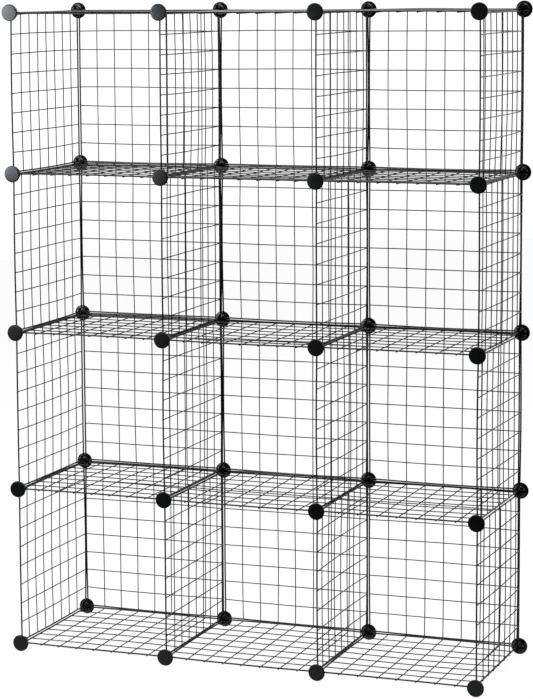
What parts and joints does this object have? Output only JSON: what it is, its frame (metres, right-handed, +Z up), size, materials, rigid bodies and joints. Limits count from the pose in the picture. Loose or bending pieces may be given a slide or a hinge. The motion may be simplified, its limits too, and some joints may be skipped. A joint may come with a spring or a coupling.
{
  "type": "cube storage unit",
  "caption": "Open-front storage unit of wire cubes: square grid panels form shelves, uprights and a closed back, held at every corner by round slotted plastic connectors.",
  "frame": {"origin": "middle of the footprint, at the lowest point of the bottom connectors' rims", "axes": "+Z up, +X to the right and +Y to the back, seen from the open side"},
  "size_m": [1.102, 0.3666, 1.457],
  "materials": {
    "black_wire": "gloss",
    "black_plastic": "satin"
  },
  "bodies": {
    "root": {"shelf_panel_level_0_bay_1": "black_wire", "shelf_panel_level_0_bay_2": "black_wire", "shelf_panel_level_0_bay_3": "black_wire", "shelf_panel_level_1_bay_1": "black_wire", "shelf_panel_level_1_bay_2": "black_wire", "shelf_panel_level_1_bay_3": "black_wire", "shelf_panel_level_2_bay_1": "black_wire", "shelf_panel_level_2_bay_2": "black_wire", "shelf_panel_level_2_bay_3": "black_wire", "shelf_panel_level_3_bay_1": "black_wire", "shelf_panel_level_3_bay_2": "black_wire", "shelf_panel_level_3_bay_3": "black_wire", "shelf_panel_level_4_bay_1": "black_wire", "shelf_panel_level_4_bay_2": "black_wire", "shelf_panel_level_4_bay_3": "black_wire", "upright_grid_wall_1": "black_wire", "upright_grid_wall_2": "black_wire", "upright_grid_wall_3": "black_wire", "upright_grid_wall_4": "black_wire", "back_grid_wall": "black_wire", "front_connector_level_0_post_1": "black_plastic", "front_connector_level_0_post_2": "black_plastic", "front_connector_level_0_post_3": "black_plastic", "front_connector_level_0_post_4": "black_plastic", "front_connector_level_1_post_1": "black_plastic", "front_connector_level_1_post_2": "black_plastic", "front_connector_level_1_post_3": "black_plastic", "front_connector_level_1_post_4": "black_plastic", "front_connector_level_2_post_1": "black_plastic", "front_connector_level_2_post_2": "black_plastic", "front_connector_level_2_post_3": "black_plastic", "front_connector_level_2_post_4": "black_plastic", "front_connector_level_3_post_1": "black_plastic", "front_connector_level_3_post_2": "black_plastic", "front_connector_level_3_post_3": "black_plastic", "front_connector_level_3_post_4": "black_plastic", "front_connector_level_4_post_1": "black_plastic", "front_connector_level_4_post_2": "black_plastic", "front_connector_level_4_post_3": "black_plastic", "front_connector_level_4_post_4": "black_plastic", "back_connector_level_0_post_1": "black_plastic", "back_connector_level_0_post_2": "black_plastic", "back_connector_level_0_post_3": "black_plastic", "back_connector_level_0_post_4": "black_plastic", "back_connector_level_1_post_1": "black_plastic", "back_connector_level_1_post_2": "black_plastic", "back_connector_level_1_post_3": "black_plastic", "back_connector_level_1_post_4": "black_plastic", "back_connector_level_2_post_1": "black_plastic", "back_connector_level_2_post_2": "black_plastic", "back_connector_level_2_post_3": "black_plastic", "back_connector_level_2_post_4": "black_plastic", "back_connector_level_3_post_1": "black_plastic", "back_connector_level_3_post_2": "black_plastic", "back_connector_level_3_post_3": "black_plastic", "back_connector_level_3_post_4": "black_plastic", "back_connector_level_4_post_1": "black_plastic", "back_connector_level_4_post_2": "black_plastic", "back_connector_level_4_post_3": "black_plastic", "back_connector_level_4_post_4": "black_plastic"}
  },
  "joints": []
}
